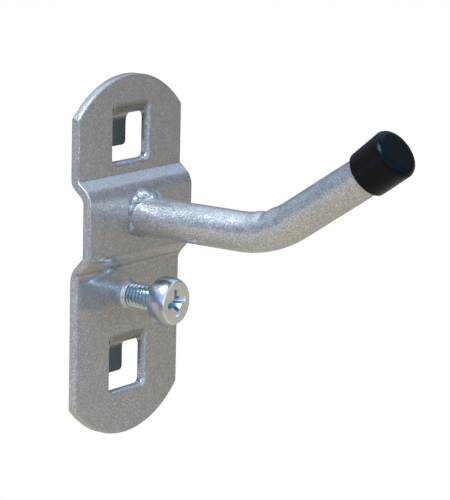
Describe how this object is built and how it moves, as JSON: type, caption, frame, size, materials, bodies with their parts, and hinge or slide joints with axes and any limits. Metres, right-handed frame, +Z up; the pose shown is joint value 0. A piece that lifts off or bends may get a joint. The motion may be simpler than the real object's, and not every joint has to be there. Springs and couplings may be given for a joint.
{
  "type": "pegboard hook",
  "caption": "Steel hook for a square-hole board: pressed plate with two tabs, welded rod that turns up, push-on end cap and locking screw.",
  "frame": {"origin": "on the board's face, which is the back of the plate, midway between the two board tabs and between the plate's sides", "axes": "+X to the right seen from the front, +Y back into the board, +Z up"},
  "size_m": [0.027, 0.0587, 0.0595],
  "materials": {
    "coated_sheet": "silver-grey powder coat with a fine sandy sparkle",
    "coated_rod": "silver-grey powder coat with a fine sandy sparkle",
    "coated_weld": "silver-grey powder coat over lumpy weld metal",
    "black_cap": "satin black soft plastic",
    "zinc_screw": "bright blue-tinted zinc plating"
  },
  "bodies": {
    "bracket": {"mounting_plate": "coated_sheet", "hook_rod": "coated_rod", "weld_bead": "coated_weld", "end_cap": "black_cap"},
    "screw": {"locking_screw": "zinc_screw"}
  },
  "joints": [
    {"name": "screw_travel", "type": "slide", "parent": "bracket", "child": "screw", "axis": [0, 1, 0], "range_m": [0, 0.0057]}
  ]
}
